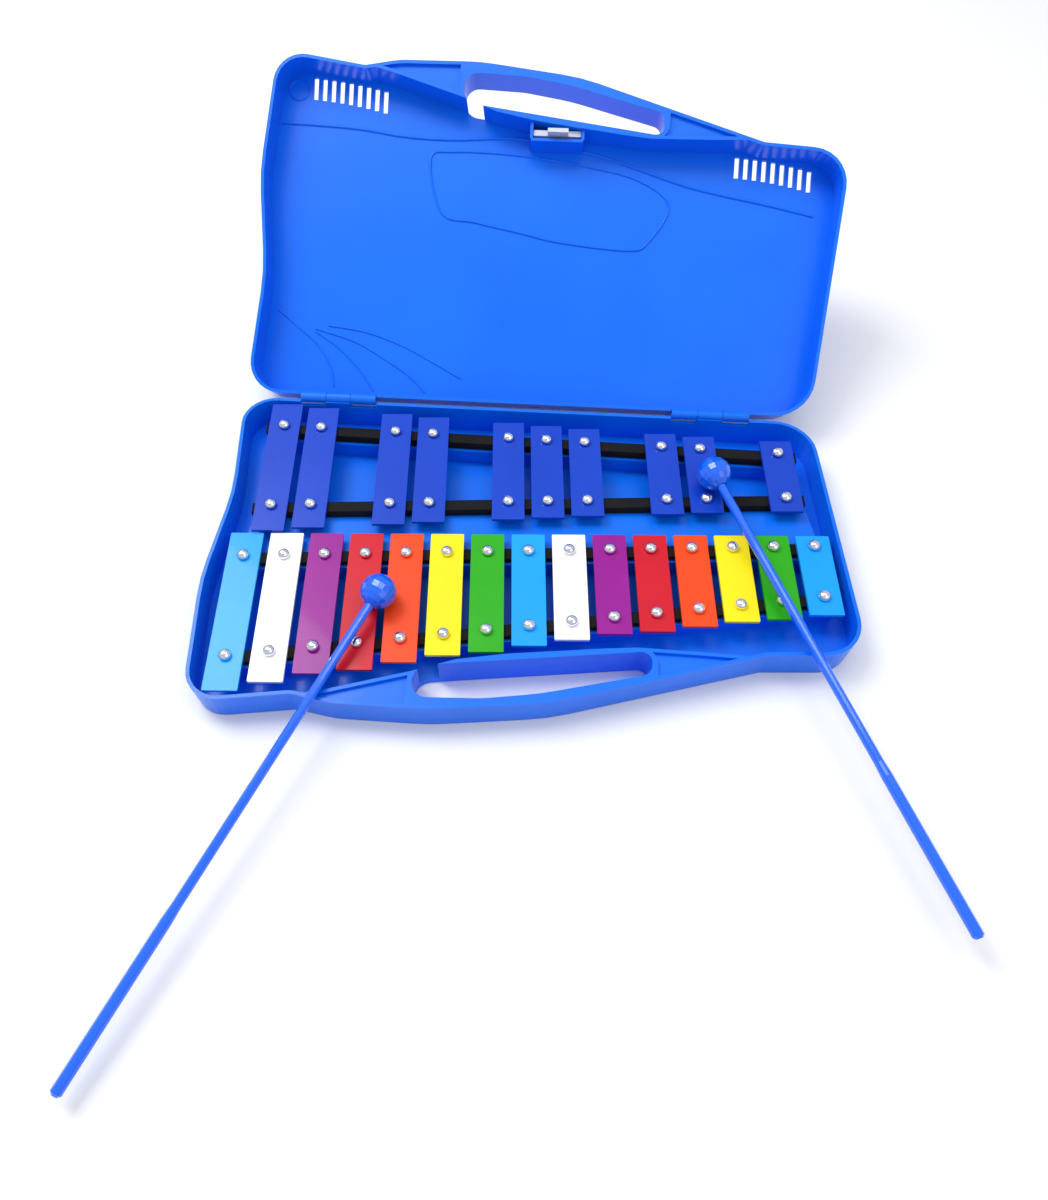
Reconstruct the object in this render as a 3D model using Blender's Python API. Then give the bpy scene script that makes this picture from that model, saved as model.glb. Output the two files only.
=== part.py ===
"""25-note metallophone in a folding plastic case, with two mallets.

Metres, +Z up, +Y towards the hinge, X along the hinge. The origin is in the
middle of the case's flat underside. The case is shown open: the lid leans
back on its hinge. Plan sizes below are in millimetres, as (u, v): u runs
along the hinge, v runs forward from the hinge's axis.
"""
import math

import bmesh
import bpy
from mathutils import Matrix, Vector

MM = 0.001

# ---- driving dimensions, millimetres ---------------------------------------
U0, V0 = 225.0, 160.0      # plan point above the origin
BASE_H = 25.0              # height of the base, to the parting plane
LID_H = 24.7               # height of the lid above the parting gap
PART_GAP = 0.3
WALL = 2.4
FLOOR = 2.4
OPEN_DEG = 146.0           # how far the lid leans back from closed
AXIS_Z = 25.2              # height of the hinge's axis
BARREL_R, PIN_R, PIN_BORE = 3.8, 1.5, 1.8

PITCH = 27.5               # from bar to bar
BAR_W = 22.5
BAR_T = 2.2
BAR_TOP = 22.0             # top of the natural bars
SHARP_LIFT = 2.5           # how much higher the accidental bars lie
BAR_LONG = 120.0           # the lowest bar
BAR_FALL = 0.944 / 24      # each semitone shortens a bar by this power of two
ROW_TURN = 0.058           # the rows stand at this angle to the hinge, radians
ROW_U, ROW_V = 34.5, 124.7 # rear middle of the first natural bar
HOLE_R, SHANK_R, HEAD_R = 2.5, 1.5, 4.0

RAIL_W = 9.0
BED_W = 13.0
BED_TOP = 15.2

MALLET_LEN = 324.0         # from the middle of the head to the stick's end
HEAD_BALL_R = 11.75
STICK_R, GRIP_R = 3.0, 3.45

NATURAL_STEPS = [0, 2, 4, 5, 7, 9, 10, 12, 14, 16, 17, 19, 21, 22, 24]
NATURAL_NAMES = ["G1", "A1", "B1", "C1", "D1", "E1", "F1", "G2", "A2", "B2", "C2", "D2", "E2", "F2", "G3"]
SHARP_PLACES = [0.5, 1.5, 3.5, 4.5, 6.5, 7.5, 8.5, 10.5, 11.5, 13.5]
SHARP_STEPS = [1, 3, 6, 8, 11, 13, 15, 18, 20, 23]
SHARP_NAMES = ["G1", "A1", "C1", "D1", "F1", "G2", "A2", "C2", "D2", "F2"]

# The case's outline: corners with their fillet radii.
OUTLINE = [
    (7.6, 2.2, 23), (17.4, 92, 160), (11.2, 165, 160), (20.6, 255.2, 22),
    (86.5, 245.0, 10), (112, 249.6, 60), (172, 249.8, 160), (246, 240.6, 160),
    (381.5, 198.6, 8), (444.4, 194.6, 30), (439.6, 140, 200), (427.2, 2.2, 29),
]
# The hand slot through the handle.
SLOT = [(160.5, 220.4, 11), (309.5, 200.4, 8), (308.5, 216.6, 8), (240, 234.6, 160), (205, 240.2, 60), (160.5, 242.2, 10)]
# The part of the handle that stays solid round the slot.
COLLAR = [(157.4, 217.6, 12), (312.6, 197.2, 10), (312.6, 228, 3), (240, 247, 60), (157.4, 254, 8)]
# The tray's front wall, seen from the tray: the handle starts behind it.
HANDLE_LINE = [(60, 262), (92, 244.6), (110, 239.8), (160, 224.2), (186, 214.4), (217, 208.4), (250, 204.2), (280, 200.4), (300, 198.4), (343, 199.0), (374, 200.0), (394, 205), (410, 262)]


# ---- helpers -----------------------------------------------------------------
def clear():
    for old in list(bpy.data.objects):
        bpy.data.objects.remove(old, do_unlink=True)


def material(name, colour, rough=0.35, metal=0.0):
    mat = bpy.data.materials.new(name)
    mat.use_nodes = True
    bsdf = mat.node_tree.nodes["Principled BSDF"]
    bsdf.inputs["Base Color"].default_value = (*colour, 1)
    bsdf.inputs["Roughness"].default_value = rough
    bsdf.inputs["Metallic"].default_value = metal
    return mat


def make(name, bm, mat=None, smooth=False):
    bmesh.ops.recalc_face_normals(bm, faces=bm.faces)
    mesh = bpy.data.meshes.new(name)
    bm.to_mesh(mesh)
    bm.free()
    obj = bpy.data.objects.new(name, mesh)
    bpy.context.scene.collection.objects.link(obj)
    if mat:
        mesh.materials.append(mat)
    if smooth:
        mesh.shade_smooth()
        mesh.set_sharp_from_angle(angle=math.radians(35))
    return obj


def fillet(corners, step=14.0):
    """A closed outline with each corner (u, v, radius) rounded by an arc."""
    out = []
    n = len(corners)
    for i in range(n):
        a, b, c = Vector(corners[i - 1][:2]), Vector(corners[i][:2]), Vector(corners[(i + 1) % n][:2])
        r = corners[i][2]
        p, q = (a - b).normalized(), (c - b).normalized()
        half = p.angle(q) / 2
        if abs(half - math.pi / 2) < 0.004:
            out.append(b)
            continue
        back = r / math.tan(half)
        back = min(back, (a - b).length * 0.49, (c - b).length * 0.49)
        r = back * math.tan(half)
        centre = b + (p + q).normalized() * (r / math.sin(half))
        s, e = b + p * back - centre, b + q * back - centre
        turn = s.angle_signed(e)
        k = max(2, int(math.ceil(abs(math.degrees(turn)) / step)))
        for j in range(k + 1):
            w = -turn * j / k
            out.append(centre + Vector((s.x * math.cos(w) - s.y * math.sin(w), s.x * math.sin(w) + s.y * math.cos(w))))
    return [(p.x, p.y) for p in out]


def area(points):
    return 0.5 * sum(points[i - 1][0] * points[i][1] - points[i][0] * points[i - 1][1] for i in range(len(points)))


def inset(points, d):
    """The outline moved inwards by d."""
    sign = 1 if area(points) > 0 else -1
    n = len(points)
    out = []
    for i in range(n):
        a, b, c = Vector(points[i - 1]), Vector(points[i]), Vector(points[(i + 1) % n])
        e, f = (b - a).normalized(), (c - b).normalized()
        m = Vector((-(e.y + f.y), e.x + f.x)).normalized() * sign
        out.append(tuple(b + m * (d / max(0.5, m.dot(Vector((-e.y, e.x)) * sign)))))
    return out


def world(u, v, z):
    return Vector(((u - U0) * MM, (V0 - v) * MM, z * MM))


def prism(points, z0, z1, place=world, top_in=0.0, bottom_in=0.0):
    """The outline carried from height z0 to z1, with a draught if wanted."""
    bm = bmesh.new()
    low = inset(points, bottom_in) if bottom_in else points
    high = inset(points, top_in) if top_in else points
    a = [bm.verts.new(place(u, v, z0)) for u, v in low]
    b = [bm.verts.new(place(u, v, z1)) for u, v in high]
    n = len(points)
    bm.faces.new(a)
    bm.faces.new(list(reversed(b)))
    for i in range(n):
        j = (i + 1) % n
        bm.faces.new((a[j], a[i], b[i], b[j]))
    return bm


def hidden(obj):
    obj.hide_render = True
    obj.display_type = "WIRE"
    return obj


def boolean(obj, tool, operation="DIFFERENCE"):
    mod = obj.modifiers.new(operation.lower(), "BOOLEAN")
    mod.operation = operation
    mod.object = tool
    mod.solver = "EXACT"
    bpy.context.view_layer.update()
    graph = bpy.context.evaluated_depsgraph_get()
    mesh = bpy.data.meshes.new_from_object(obj.evaluated_get(graph))
    obj.modifiers.clear()
    old = obj.data
    obj.data = mesh
    bpy.data.meshes.remove(old)
    bpy.data.objects.remove(tool, do_unlink=True)
    return obj


def cut(obj, bm):
    return boolean(obj, make("cutter", bm), "DIFFERENCE")


def add(obj, bm):
    return boolean(obj, make("addition", bm), "UNION")


def keep(obj, bm):
    return boolean(obj, make("common", bm), "INTERSECT")


def rod(u0, u1, v, z, r, sides=20, place=world):
    """A round bar along the hinge's direction."""
    bm = bmesh.new()
    rings = []
    for u in (u0, u1):
        rings.append([bm.verts.new(place(u, v + r * math.cos(2 * math.pi * k / sides), z + r * math.sin(2 * math.pi * k / sides))) for k in range(sides)])
    bm.faces.new(rings[0])
    bm.faces.new(list(reversed(rings[1])))
    for k in range(sides):
        j = (k + 1) % sides
        bm.faces.new((rings[0][j], rings[0][k], rings[1][k], rings[1][j]))
    return bm


def block(u0, u1, v0, v1, z0, z1, place=world):
    return prism([(u0, v0), (u1, v0), (u1, v1), (u0, v1)], z0, z1, place)


def closed_lid(u, v, z):
    """The lid's own frame: closed, with the hinge's axis as origin."""
    return Vector(((u - U0) * MM, -v * MM, (z - AXIS_Z) * MM))


# ---- materials ----------------------------------------------------------------
def materials():
    m = {}
    m["case"] = material("case_blue_plastic", (0.0, 0.19, 0.87), 0.3)
    m["lid"] = material("lid_blue_plastic", (0.0, 0.2, 0.93), 0.3)
    m["mallet"] = material("mallet_blue_plastic", (0.0, 0.2, 0.95), 0.2)
    m["pin"] = material("hinge_steel", (0.6, 0.6, 0.62), 0.3, 1.0)
    m["rail"] = material("rail_black", (0.012, 0.012, 0.015), 0.8)
    m["latch"] = material("latch_grey_plastic", (0.72, 0.74, 0.76), 0.4)
    m["G"] = material("bar_light_blue", (0.0, 0.37, 0.99), 0.3)
    m["A"] = material("bar_white", (0.9, 0.9, 0.9), 0.3)
    m["B"] = material("bar_purple", (0.29, 0.0, 0.28), 0.3)
    m["C"] = material("bar_red", (0.58, 0.0, 0.02), 0.3)
    m["D"] = material("bar_orange", (0.95, 0.06, 0.0), 0.3)
    m["E"] = material("bar_yellow", (0.97, 0.8, 0.0), 0.3)
    m["F"] = material("bar_green", (0.02, 0.42, 0.0), 0.3)
    m["sharp"] = material("bar_dark_blue", (0.0, 0.045, 0.52), 0.3)
    return m


# ---- the case -----------------------------------------------------------------
HINGES = [(50.9, 69.5, 88.1, 106.9), (326.5, 345.2, 363.8, 382.6)]


def shell(name, mat, place, z_rim, z_face, draught):
    """One half of the case: a tray with its half of the handle.

    z_rim is the parting plane and z_face is the outer face."""
    up = 1 if z_face > z_rim else -1
    outline = fillet(OUTLINE)
    inner = inset(outline, WALL)
    lo, hi = min(z_rim, z_face), max(z_rim, z_face)
    body = make(name, prism(outline, lo, hi, place, draught if up > 0 else 0, 0 if up > 0 else draught), mat, True)
    line = HANDLE_LINE
    handle = line + [(410, 300), (60, 300)]
    rim = z_rim - up * 1.0
    # the hollow behind the handle
    hollow = make("hollow", prism(inner, *sorted((rim, z_face - up * FLOOR)), place))
    cut(hollow, prism(handle, lo - 5, hi + 5, place))
    boolean(body, hollow)
    # the web beside the slot: a plate just inside the parting plane, hollow behind
    web = [(u, v + WALL) for u, v in line] + [(410, 300), (60, 300)]
    for a, b in ((rim, z_rim + up * 2.6), (z_rim + up * 5.0, z_face + up * 1.0)):
        pocket = make("pocket", prism(inner, *sorted((a, b)), place))
        keep(pocket, prism(web, lo - 5, hi + 5, place))
        cut(pocket, prism(fillet(COLLAR), lo - 5, hi + 5, place))
        boolean(body, pocket)
    cut(body, prism(fillet(SLOT), lo - 2, hi + 2, place))
    return body


def row(x, y, z):
    """A point of the rows' own frame: x along the bars, y towards the hinge."""
    c, s = math.cos(ROW_TURN), math.sin(ROW_TURN)
    return world(ROW_U + c * x - s * y, ROW_V - s * x - c * y, z)


def natural_rear(i):
    return -19.0 + 0.74 * i


def natural_front(i):
    return -95.6 + 3.36 * i


def sharp_middle(i):
    return 58.9 - 0.62 * i


def sharp_half(i):
    return 37.2 - 1.27 * i


def strip(line, i0, i1, half, over=0.0):
    """A band of the rows' frame along one line of pins."""
    a, b = i0 - over, i1 + over
    return [(a * PITCH, line(a) - half), (b * PITCH, line(b) - half), (b * PITCH, line(b) + half), (a * PITCH, line(a) + half)]


RAILS = {
    "rail_natural_rear": (natural_rear, 0, 14, 19.5, 0.36),
    "rail_natural_front": (natural_front, 0, 14, 19.5, 0.36),
    "rail_sharp_rear": (lambda i: sharp_middle(i) + sharp_half(i), 0.5, 13.5, 22.0, 0.5),
    "rail_sharp_front": (lambda i: sharp_middle(i) - sharp_half(i), 0.5, 13.5, 22.0, 0.5),
}


def build_base(m):
    body = shell("case_base", m["case"], world, BASE_H, 0.0, 0.9)
    beds = []
    for name, (line, i0, i1, top, over) in RAILS.items():
        beds.append(strip(line, i0, i1, BED_W / 2, over - 0.02))
    # the ledge between the two rows joins their neighbouring beds
    rear, front = RAILS["rail_sharp_front"][0], natural_rear
    ledge = [(-0.3 * PITCH, front(-0.3) - BED_W / 2), (14.3 * PITCH, front(14.3) - BED_W / 2), (14.0 * PITCH, rear(14.0) + BED_W / 2), (0.1 * PITCH, rear(0.1) + BED_W / 2)]
    for shape in (beds[2], beds[1], ledge):
        add(body, prism(shape, 1.6, BED_TOP, row))
        cut(body, prism(inset(shape, 2.2), -1.0, BED_TOP - 2.4, row))
    # the barrel in the middle of each hinge, and room for the lid's barrels
    for a, b, c, d in HINGES:
        cut(body, block(a - 0.4, b + 0.1, -8, 6.2, 20.9, 27))
        cut(body, block(c - 0.1, d + 0.4, -8, 6.2, 20.9, 27))
        barrel = make("barrel", rod(b + 0.4, c - 0.4, 0, AXIS_Z, BARREL_R))
        add(barrel, block(b + 0.4, c - 0.4, 0.5, 3.6, 18.5, 24.6))
        cut(barrel, rod(a - 5, d + 5, 0, AXIS_Z, PIN_BORE, 16))
        boolean(body, barrel, "UNION")
        cut(body, rod(b + 0.2, c - 0.2, 0, AXIS_Z, PIN_BORE, 16))
    # the catch under the latch: a pocket in the tray's front wall
    cut(body, block(222.5, 240.5, 203.0, 209.4, 17.6, 22.4))
    return body


def build_lid(m, pivot):
    rim, face = AXIS_Z - 0.2 + PART_GAP, AXIS_Z - 0.2 + PART_GAP + LID_H
    body = shell("lid", m["lid"], closed_lid, rim, face, 0.9)
    # vents: nine slots in each front corner
    for i in range(9):
        for u, v, length in (
            (45.3 + 6.75 * i, 237.4 - 1.05 * i + 1.2 * math.sin(math.pi * i / 8), 16.6),
            (366.6 + 6.75 * i, 188.8 - 1.05 * i + 1.4 * math.sin(math.pi * i / 8), 15.6),
        ):
            cut(body, block(u - 1.7, u + 1.7, v - length / 2, v + length / 2, face - 4, face + 2, closed_lid))
    for a, b, c, d in HINGES:
        cut(body, block(b - 0.1, c + 0.1, -8, 6.2, 20, 29.5, closed_lid))
        for p, q in ((a, b), (c, d)):
            barrel = make("barrel", rod(p, q, 0, AXIS_Z, BARREL_R, 20, closed_lid))
            add(barrel, block(p, q, 0.5, 3.6, 25.8, 31.5, closed_lid))
            boolean(body, barrel, "UNION")
        cut(body, rod(a - 1, d + 1, 0, AXIS_Z, PIN_BORE, 16, closed_lid))
    # the latch's housing, open towards the base
    add(body, block(211.0, 213.2, 197.0, 211.0, 28.0, face - 1.2, closed_lid))
    add(body, block(248.8, 251.0, 197.0, 207.0, 28.0, face - 1.2, closed_lid))
    add(body, block(212.0, 250.0, 195.4, 197.4, 28.0, face - 1.2, closed_lid))
    cut(body, rod(210.0, 252.0, LATCH_V, LATCH_Z, 1.8, 14, closed_lid))
    body.parent = pivot
    return body


LATCH_V, LATCH_Z = 202.2, 32.0


def latch_frame(u, v, z):
    return Vector(((u - U0) * MM, -(v - LATCH_V) * MM, (z - LATCH_Z) * MM))


def build_latch(m, pivot):
    bm = block(213.7, 248.3, LATCH_V - 2.4, LATCH_V + 1.6, LATCH_Z - 2.4, LATCH_Z + 2.6, latch_frame)
    body = make("latch_bar", bm, m["latch"], True)
    add(body, rod(211.4, 250.6, LATCH_V, LATCH_Z, 1.5, 14, latch_frame))
    # the finger that reaches past the parting plane, with its hook
    add(body, block(224.0, 239.0, LATCH_V - 2.4, LATCH_V - 0.4, 22.6, LATCH_Z, latch_frame))
    add(body, block(224.0, 239.0, LATCH_V - 2.4, LATCH_V + 0.5, 22.6, 24.0, latch_frame))
    body.parent = pivot
    body.location = closed_lid(U0, LATCH_V, LATCH_Z)
    return body


# ---- bars, rails and pins -------------------------------------------------------
def bar(name, mat, i, middle, length, top, pins):
    half, w = length / 2, BAR_W / 2
    c = 0.5
    outline = [(-w + c, -half), (w - c, -half), (w, -half + c), (w, half - c), (w - c, half), (-w + c, half), (-w, half - c), (-w, -half + c)]

    def own(x, y, z):
        return Vector((x * MM, y * MM, z * MM))

    body = make(name, prism(outline, 0, BAR_T, own), mat, True)
    holes = bmesh.new()
    for y in pins:
        ring = [[holes.verts.new(own(HOLE_R * math.cos(math.tau * k / 12), y - middle + HOLE_R * math.sin(math.tau * k / 12), z)) for k in range(12)] for z in (-1, BAR_T + 1)]
        holes.faces.new(ring[0])
        holes.faces.new(list(reversed(ring[1])))
        for k in range(12):
            j = (k + 1) % 12
            holes.faces.new((ring[0][j], ring[0][k], ring[1][k], ring[1][j]))
    cut(body, holes)
    body.location = row(i * PITCH, middle, top - BAR_T)
    body.rotation_euler = (0, 0, ROW_TURN)
    return body


def pin_profile(top):
    """Radius and height of a dome-head pin, from the rail's inside up."""
    return [(SHANK_R, top - 5.2), (SHANK_R, top + 0.45), (HEAD_R, top + 0.75), (HEAD_R, top + 2.3), (HEAD_R * 0.72, top + 3.9)], top + 4.6


def build_rail(name, m):
    line, i0, i1, top, over = RAILS[name]
    body = make(name, prism(strip(line, i0, i1, RAIL_W / 2, over), BED_TOP + 0.3, top, row), m["rail"])
    places = range(15) if "natural" in name else SHARP_PLACES
    bar_top = BAR_TOP + (0 if "natural" in name else SHARP_LIFT)
    rings, tip = pin_profile(bar_top)
    bm = bmesh.new()
    sides = 10
    for i in places:
        x, y = i * PITCH, line(i)
        made = [[bm.verts.new(row(x + r * math.cos(math.tau * k / sides), y + r * math.sin(math.tau * k / sides), z)) for k in range(sides)] for r, z in rings]
        bm.faces.new(made[0])
        for a, b in zip(made, made[1:]):
            for k in range(sides):
                j = (k + 1) % sides
                bm.faces.new((a[j], a[k], b[k], b[j]))
        apex = bm.verts.new(row(x, y, tip))
        for k in range(sides):
            bm.faces.new((made[-1][(k + 1) % sides], made[-1][k], apex))
    add(body, bm)
    return body


# ---- mallets ---------------------------------------------------------------------
def turned(name, profile, mat, sides=14):
    """A turned piece along +Y from (distance, radius) pairs; radius 0 closes an end."""
    bm = bmesh.new()
    rings = []
    for d, r in profile:
        if r == 0:
            rings.append([bm.verts.new((0, d * MM, 0))])
        else:
            rings.append([bm.verts.new((r * MM * math.cos(math.tau * k / sides), d * MM, r * MM * math.sin(math.tau * k / sides))) for k in range(sides)])
    for a, b in zip(rings, rings[1:]):
        for k in range(sides):
            j = (k + 1) % sides
            if len(a) == 1:
                bm.faces.new((a[0], b[k], b[j]))
            elif len(b) == 1:
                bm.faces.new((a[k], a[j], b[0]))
            else:
                bm.faces.new((a[k], a[j], b[j], b[k]))
    return make(name, bm, mat, True)


def build_mallet(side, head, end, m):
    """head and end are world points in millimetres."""
    pivot = bpy.data.objects.new("mallet_" + side + "_frame", None)
    bpy.context.scene.collection.objects.link(pivot)
    h, e = Vector(head), Vector(end)
    along = (e - h).normalized()
    pivot.rotation_mode = "QUATERNION"
    pivot.rotation_quaternion = along.to_track_quat("Y", "Z")
    pivot.location = h * MM
    r, k = HEAD_BALL_R, 9
    ball = [(-r * math.cos(math.pi * i / k), r * math.sin(math.pi * i / k) if 0 < i < k else 0) for i in range(k)]
    mouth = STICK_R + 0.35
    ball += [(math.sqrt(r * r - mouth * mouth), mouth), (2.0, mouth), (2.0, 0)]
    head_obj = turned("mallet_head_" + side, ball, m["mallet"], 18)
    stick = [(2.4, 0), (2.4, STICK_R * 0.9), (3.2, STICK_R), (220, STICK_R), (229, GRIP_R), (MALLET_LEN - 1.4, GRIP_R), (MALLET_LEN, GRIP_R * 0.6), (MALLET_LEN, 0)]
    stick_obj = turned("mallet_stick_" + side, stick, m["mallet"], 12)
    for obj in (head_obj, stick_obj):
        obj.parent = pivot


def main():
    clear()
    m = materials()
    build_base(m)
    pivot = bpy.data.objects.new("lid_hinge_axis", None)
    bpy.context.scene.collection.objects.link(pivot)
    pivot.location = (0, V0 * MM, AXIS_Z * MM)
    pivot.rotation_euler = (-math.radians(OPEN_DEG), 0, 0)
    build_lid(m, pivot)
    build_latch(m, pivot)
    for side, (a, b, c, d) in zip(("left", "right"), HINGES):
        make("hinge_pin_" + side, rod(a + 0.4, d - 0.4, 0, AXIS_Z, PIN_R, 14), m["pin"], True)
    for i, (name, step) in enumerate(zip(NATURAL_NAMES, NATURAL_STEPS)):
        length = BAR_LONG * 2 ** (-BAR_FALL * step)
        bar("bar_" + name, m[name[0]], i, -length / 2, length, BAR_TOP, (natural_rear(i), natural_front(i)))
    for i, name, step in zip(SHARP_PLACES, SHARP_NAMES, SHARP_STEPS):
        length = BAR_LONG * 2 ** (-BAR_FALL * step) - 1.0
        mid = sharp_middle(i)
        bar("bar_" + name + "_sharp", m["sharp"], i, mid, length, BAR_TOP + SHARP_LIFT, (mid + sharp_half(i), mid - sharp_half(i)))
    for name in RAILS:
        build_rail(name, m)
    build_mallet("left", (132.9 - U0, V0 - 173.3, 34.15), (4.9 - U0, V0 - 470.5, 12.2), m)
    build_mallet("right", (352.3 - U0, V0 - 64.2, 36.65), (479.9 - U0, V0 - 360.8, 21.6), m)


main()
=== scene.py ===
"""25-note metallophone in an open folding case, with two mallets."""
import math

import bpy
from mathutils import Matrix, Vector


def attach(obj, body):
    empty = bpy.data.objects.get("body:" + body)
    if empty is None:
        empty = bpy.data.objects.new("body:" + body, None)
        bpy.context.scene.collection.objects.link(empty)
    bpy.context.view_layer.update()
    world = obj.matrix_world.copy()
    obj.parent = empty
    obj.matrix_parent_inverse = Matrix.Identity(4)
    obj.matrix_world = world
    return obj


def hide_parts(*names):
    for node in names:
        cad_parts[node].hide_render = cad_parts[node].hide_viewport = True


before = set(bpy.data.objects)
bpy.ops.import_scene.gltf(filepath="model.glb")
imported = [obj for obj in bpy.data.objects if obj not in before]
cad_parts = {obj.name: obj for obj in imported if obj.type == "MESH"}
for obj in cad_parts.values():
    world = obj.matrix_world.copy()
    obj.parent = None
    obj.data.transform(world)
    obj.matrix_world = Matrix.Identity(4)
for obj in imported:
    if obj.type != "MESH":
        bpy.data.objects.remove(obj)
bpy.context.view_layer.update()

V0 = 160.0


# ---- materials -----------------------------------------------------------------
class Nodes:
    """Small helper for building a shader tree."""

    def __init__(self, name):
        self.mat = bpy.data.materials.new(name)
        self.mat.use_nodes = True
        self.tree = self.mat.node_tree
        self.bsdf = self.tree.nodes["Principled BSDF"]

    def add(self, kind, **values):
        node = self.tree.nodes.new(kind)
        for key, value in values.items():
            setattr(node, key, value)
        return node

    def link(self, a, b):
        self.tree.links.new(a, b)

    def set(self, socket, value):
        self.bsdf.inputs[socket].default_value = value


def paint(name, dark, light, rough, bump=0.02, scale=300.0, coat=0.0, metal=0.0, blotch=12.0, spec=0.5):
    """A surface whose colour wanders between two tones, with fine grain."""
    n = Nodes(name)
    place = n.add("ShaderNodeTexCoord")
    cloud = n.add("ShaderNodeTexNoise")
    cloud.inputs["Scale"].default_value = blotch
    cloud.inputs["Detail"].default_value = 3.0
    n.link(place.outputs["Object"], cloud.inputs["Vector"])
    ramp = n.add("ShaderNodeValToRGB")
    ramp.color_ramp.elements[0].position = 0.3
    ramp.color_ramp.elements[1].position = 0.7
    ramp.color_ramp.elements[0].color = (*dark, 1)
    ramp.color_ramp.elements[1].color = (*light, 1)
    n.link(cloud.outputs["Fac"], ramp.inputs["Fac"])
    n.link(ramp.outputs["Color"], n.bsdf.inputs["Base Color"])
    grain = n.add("ShaderNodeTexNoise")
    grain.inputs["Scale"].default_value = scale
    grain.inputs["Detail"].default_value = 4.0
    n.link(place.outputs["Object"], grain.inputs["Vector"])
    spread = n.add("ShaderNodeMapRange")
    spread.inputs["To Min"].default_value = max(0.02, rough - 0.05)
    spread.inputs["To Max"].default_value = rough + 0.07
    n.link(grain.outputs["Fac"], spread.inputs["Value"])
    n.link(spread.outputs["Result"], n.bsdf.inputs["Roughness"])
    relief = n.add("ShaderNodeBump")
    relief.inputs["Strength"].default_value = bump
    relief.inputs["Distance"].default_value = 0.0004
    n.link(grain.outputs["Fac"], relief.inputs["Height"])
    n.link(relief.outputs["Normal"], n.bsdf.inputs["Normal"])
    n.set("Metallic", metal)
    n.set("Specular IOR Level", spec)
    n.set("Coat Weight", coat)
    n.set("Coat Roughness", 0.06)
    return n.mat


def lin(r, g, b):
    def one(c):
        c /= 255.0
        return c / 12.92 if c <= 0.04045 else ((c + 0.055) / 1.055) ** 2.4
    return one(r), one(g), one(b)


def pair(rgb, spread=0.06):
    c = lin(*rgb)
    return tuple(x * (1 - spread) for x in c), tuple(min(1.0, x * (1 + spread) + 0.002) for x in c)


def enamel(name, rgb, spread=0.04):
    dark, light = pair(rgb, spread)
    return paint(name, dark, light, 0.34, bump=0.03, scale=900.0, coat=0.15, blotch=25.0, spec=0.3)


SLOTS = {
    "case": paint("case_plastic", *pair((0, 110, 240), 0.05), 0.3, bump=0.05, scale=1200.0, coat=0.08, spec=0.28),
    "rail": paint("rail_foam", (0.004, 0.004, 0.005), (0.011, 0.011, 0.013), 0.75, bump=0.2, scale=900.0, spec=0.15),
    "steel": paint("hinge_steel", (0.55, 0.56, 0.58), (0.72, 0.72, 0.74), 0.22, metal=1.0),
    "latch": paint("latch_plastic", *pair((205, 212, 220), 0.03), 0.35),
    "mallet": paint("mallet_plastic", *pair((0, 100, 245), 0.04), 0.16, bump=0.01, coat=0.6),
    "bar_light_blue": enamel("bar_light_blue", (0, 160, 252)),
    "bar_white": enamel("bar_white", (248, 248, 250), 0.01),
    "bar_purple": enamel("bar_purple", (148, 2, 142)),
    "bar_red": enamel("bar_red", (204, 2, 34)),
    "bar_orange": enamel("bar_orange", (248, 70, 6)),
    "bar_yellow": enamel("bar_yellow", (250, 228, 2)),
    "bar_green": enamel("bar_green", (36, 170, 2)),
    "bar_dark_blue": enamel("bar_dark_blue", (0, 62, 190)),
}

def slot_for(name):
    if name.startswith("bar_"):
        if name.endswith("_sharp"):
            return "bar_dark_blue"
        return {"G": "bar_light_blue", "A": "bar_white", "B": "bar_purple", "C": "bar_red", "D": "bar_orange", "E": "bar_yellow", "F": "bar_green"}[name[4]]
    if name.startswith("rail"):
        return "rail"
    if name.startswith("hinge"):
        return "steel"
    if name.startswith("latch"):
        return "latch"
    if name.startswith("mallet"):
        return "mallet"
    return "case"


for name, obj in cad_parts.items():
    obj.data.materials.clear()
    obj.data.materials.append(SLOTS[slot_for(name)])

scene = bpy.context.scene


# ---- rails and their dome-head pins -------------------------------------------------
ROW_TURN, ROW_U, ROW_V, PITCH = 0.058, 34.5, 124.7, 27.5
BED_TOP, BAR_TOP, SHARP_LIFT = 15.2, 22.0, 2.5
SHARP_PLACES = [0.5, 1.5, 3.5, 4.5, 6.5, 7.5, 8.5, 10.5, 11.5, 13.5]
RAILS = {
    "rail_natural_rear": (lambda i: -19.0 + 0.74 * i, 0, 14, 19.5, 0.36),
    "rail_natural_front": (lambda i: -95.6 + 3.36 * i, 0, 14, 19.5, 0.36),
    "rail_sharp_rear": (lambda i: 96.1 - 1.89 * i, 0.5, 13.5, 22.0, 0.5),
    "rail_sharp_front": (lambda i: 21.7 + 0.65 * i, 0.5, 13.5, 22.0, 0.5),
}
CHROME = paint("pin_chrome", (0.80, 0.80, 0.82), (0.93, 0.93, 0.94), 0.1, bump=0.01, metal=1.0)


def row(x, y, z):
    c, s = math.cos(ROW_TURN), math.sin(ROW_TURN)
    u, v = ROW_U + c * x - s * y, ROW_V - s * x - c * y
    return ((u - 225.0) / 1000, (V0 - v) / 1000, z / 1000)


def finish_mesh(name, verts, faces, mat, smooth_angle=40.0):
    data = bpy.data.meshes.new(name)
    data.from_pydata(verts, [], faces)
    data.update()
    data.materials.append(mat)
    data.shade_smooth()
    data.set_sharp_from_angle(angle=math.radians(smooth_angle))
    new = bpy.data.objects.new(name, data)
    scene.collection.objects.link(new)
    return new


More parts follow.
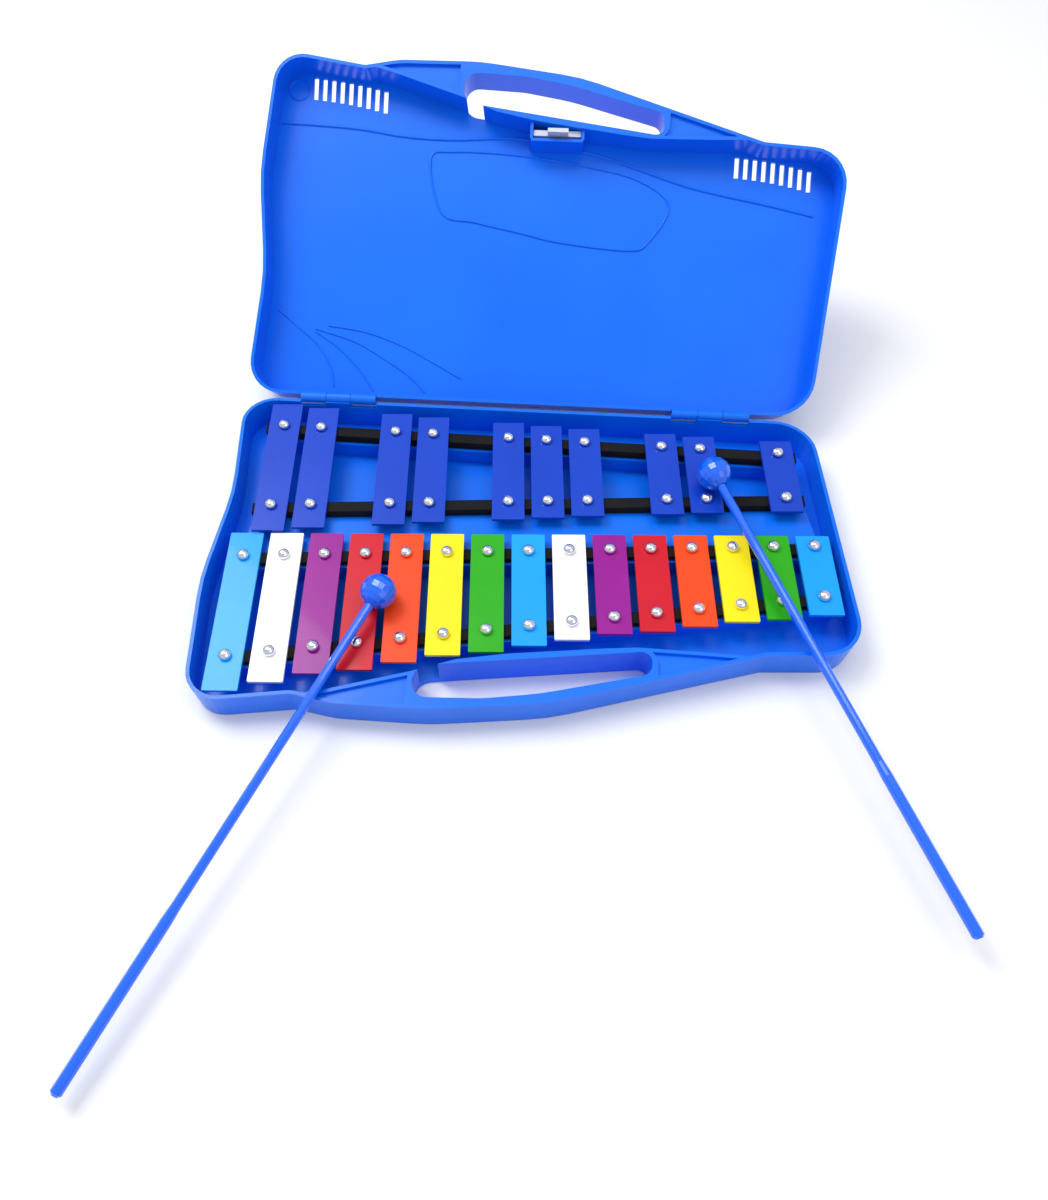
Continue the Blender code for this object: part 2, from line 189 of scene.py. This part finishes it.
for rail, (line, i0, i1, top, over) in RAILS.items():
    # the strip: a band with a rounded top, cut into short lengths along the row
    a, b = i0 - over, i1 + over
    section = [(-4.5, BED_TOP + 0.3), (-4.5, top - 0.9), (-4.2, top - 0.3), (-3.5, top), (3.5, top), (4.2, top - 0.3), (4.5, top - 0.9), (4.5, BED_TOP + 0.3)]
    verts, faces = [], []
    steps = 60
    for k in range(steps + 1):
        i = a + (b - a) * k / steps
        verts += [row(i * PITCH, line(i) + dy, z) for dy, z in section]
    n = len(section)
    for k in range(steps):
        for j in range(n):
            p, q = k * n + j, k * n + (j + 1) % n
            faces.append((p, q, q + n, p + n))
    faces.append(tuple(range(n)))
    faces.append(tuple(reversed(range(steps * n, steps * n + n))))
    band = finish_mesh(rail + "_strip", verts, faces, SLOTS["rail"])
    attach(band, "base")
    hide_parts(rail)
    # the pins: a smooth dome on a short neck and a shank
    bar_top = BAR_TOP + (0 if "natural" in rail else SHARP_LIFT)
    profile = [(1.5, bar_top - 3.0), (1.5, bar_top + 0.45), (3.7, bar_top + 0.75), (4.0, bar_top + 1.05), (4.0, bar_top + 1.7)]
    profile += [(4.0 * math.cos(math.radians(t)), bar_top + 1.7 + 2.88 * math.sin(math.radians(t))) for t in (12, 25, 38, 52, 66, 79)]
    verts, faces = [], []
    sides = 32
    for i in (range(15) if "natural" in rail else SHARP_PLACES):
        x, y, base = i * PITCH, line(i), len(verts)
        for r, z in profile:
            verts += [row(x + r * math.cos(math.tau * k / sides), y + r * math.sin(math.tau * k / sides), z) for k in range(sides)]
        verts.append(row(x, y, bar_top + 4.58))
        for ring in range(len(profile) - 1):
            for k in range(sides):
                j = (k + 1) % sides
                p = base + ring * sides
                faces.append((p + k, p + j, p + sides + j, p + sides + k))
        last = base + (len(profile) - 1) * sides
        for k in range(sides):
            faces.append((last + k, last + (k + 1) % sides, len(verts) - 1))
        faces.append(tuple(base + k for k in reversed(range(sides))))
    pins = finish_mesh(rail + "_pins", verts, faces, CHROME)
    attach(pins, "base")
    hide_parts(rail)


# ---- the relief moulded in the lid -----------------------------------------------------
OPEN = math.radians(-146.0)
LID_FLOOR = 47.6


def lid_point(u, v, z):
    y, h = -v, z - 25.2
    return Vector(((u - 225.0) / 1000, (V0 + y * math.cos(OPEN) - h * math.sin(OPEN)) / 1000, (25.2 + y * math.sin(OPEN) + h * math.cos(OPEN)) / 1000))


def ridge(name, points, width, height, closed=False):
    """A low rounded rib that follows the points over the lid's inner face."""
    curve, n = [], len(points)
    spans = n if closed else n - 1
    for s in range(spans):
        p0 = points[(s - 1) % n] if closed or s > 0 else points[s]
        p1, p2 = points[s], points[(s + 1) % n]
        p3 = points[(s + 2) % n] if closed or s + 2 < n else p2
        for k in range(8):
            t = k / 8
            curve.append(tuple(0.5 * (2 * p1[a] + (p2[a] - p0[a]) * t + (2 * p0[a] - 5 * p1[a] + 4 * p2[a] - p3[a]) * t * t + (3 * p1[a] - p0[a] - 3 * p2[a] + p3[a]) * t ** 3) for a in (0, 1)))
    if not closed:
        curve.append(points[-1])
    m = len(curve)
    verts, faces = [], []
    arc = [(-1.0, -0.2), (-0.8, 0.35), (-0.4, 0.85), (0.0, 1.0), (0.4, 0.85), (0.8, 0.35), (1.0, -0.2)]
    for k in range(m):
        before = curve[k - 1] if closed or k > 0 else curve[k]
        after = curve[(k + 1) % m] if closed or k + 1 < m else curve[k]
        d = Vector((after[0] - before[0], after[1] - before[1])).normalized()
        verts += [lid_point(curve[k][0] - d.y * w * width / 2, curve[k][1] + d.x * w * width / 2, LID_FLOOR - h * height) for w, h in arc]
    s = len(arc)
    for k in range(m if closed else m - 1):
        for j in range(s):
            q = (j + 1) % s
            e = (k + 1) % m
            faces.append((k * s + j, k * s + q, e * s + q, e * s + j))
    if not closed:
        faces.append(tuple(range(s)))
        faces.append(tuple(reversed(range((m - 1) * s, m * s))))
    new = finish_mesh(name, verts, faces, SLOTS["case"], 60.0)
    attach(new, "lid")


ridge("lid_wave_rib", [(19.6, 211), (50, 210), (82, 208), (117, 203.5), (153, 202.4), (199, 204.7), (234, 199.5), (269, 192.4), (319, 176.8), (345, 170.3), (392, 161.7), (425, 154.8)], 2.2, 1.3)
ridge("lid_plate_rib", [(136, 187.7), (146, 147.7), (172, 141.4), (205, 135), (237.6, 128.6), (289, 124.6), (303.8, 131.1), (318, 158.3), (295.8, 176), (261.5, 184.5), (203.7, 192.2), (153.5, 193.5)], 1.8, 1.1, True)
ridge("lid_wing_rib_1", [(23.7, 69.6), (42.3, 55.1), (56.1, 43.5), (66.2, 27.9), (69.6, 12.7)], 1.6, 1.0)
ridge("lid_wing_rib_2", [(53.3, 54), (71.7, 42.6), (88, 27.3), (100.5, 11)], 1.6, 1.0)
ridge("lid_wing_rib_3", [(53.2, 56.3), (83.9, 47.7), (107, 35.8), (127.8, 23), (140, 11.3)], 1.6, 1.0)
ridge("lid_wing_rib_4", [(63.2, 59), (93.3, 55), (125.2, 44.2), (167.1, 23.2)], 1.6, 1.0)
ridge("lid_boss_rib", [(32.5 + 7.5 * math.cos(math.tau * k / 8), 236.0 + 7.5 * math.sin(math.tau * k / 8)) for k in range(8)], 1.4, 1.0, True)

# ---- floor, light, camera --------------------------------------------------------
floor_mat = paint("floor_white", (0.90, 0.90, 0.91), (0.93, 0.93, 0.94), 0.8, bump=0.01, scale=40.0, blotch=2.0, spec=0.1)
mesh = bpy.data.meshes.new("floor")
half = 4.0
mesh.from_pydata([(-half, -half, -0.0002), (half, -half, -0.0002), (half, half, -0.0002), (-half, half, -0.0002)], [], [(0, 1, 2, 3)])
mesh.materials.append(floor_mat)
floor = bpy.data.objects.new("floor", mesh)
scene.collection.objects.link(floor)

world = bpy.data.worlds.new("studio")
world.use_nodes = True
world.node_tree.nodes["Background"].inputs["Color"].default_value = (0.95, 0.97, 1.0, 1)
world.node_tree.nodes["Background"].inputs["Strength"].default_value = 0.62
scene.world = world
scene.view_settings.view_transform = "Standard"
scene.view_settings.look = "None"


def lamp(name, place, target, size, power, colour=(1, 1, 1)):
    light = bpy.data.lights.new(name, "AREA")
    light.shape = "RECTANGLE"
    light.size, light.size_y = size
    light.energy = power
    light.color = colour
    obj = bpy.data.objects.new(name, light)
    obj.location = place
    obj.rotation_euler = (Vector(target) - Vector(place)).to_track_quat("-Z", "Y").to_euler()
    scene.collection.objects.link(obj)
    return obj


lamp("key", (-0.9, 0.6, 1.5), (0, 0.05, 0), (0.8, 0.8), 17)
lamp("fill", (1.1, -0.7, 1.4), (0, 0, 0), (1.2, 1.2), 5)
lamp("top", (0.0, 0.4, 1.9), (0, 0.1, 0), (1.6, 0.5), 8)

cam = bpy.data.cameras.new("photo_view")
cam.sensor_fit = "HORIZONTAL"
cam.sensor_width = 36.0
cam.lens = 940.724 / 1048 * 36
cam.shift_x = (1048 / 2 - 486.892) / 1048
cam.shift_y = (600.907 - 1200 / 2) / 1048
cam.clip_start = 0.01
eye = bpy.data.objects.new("photo_view", cam)
turn = Vector((2.59, 0.091, -0.042))
R = Matrix.Rotation(turn.length, 3, turn.normalized())
centre = -(R.transposed() @ Vector((-189.536, -154.754, 712.633)))
place = Matrix.Translation(((centre.x - 225) / 1000, (centre.y + V0) / 1000, (centre.z + 22) / 1000))
axes = Matrix((R[0], -R[1], -R[2])).transposed().to_4x4()
eye.matrix_world = place @ axes
scene.collection.objects.link(eye)
scene.camera = eye
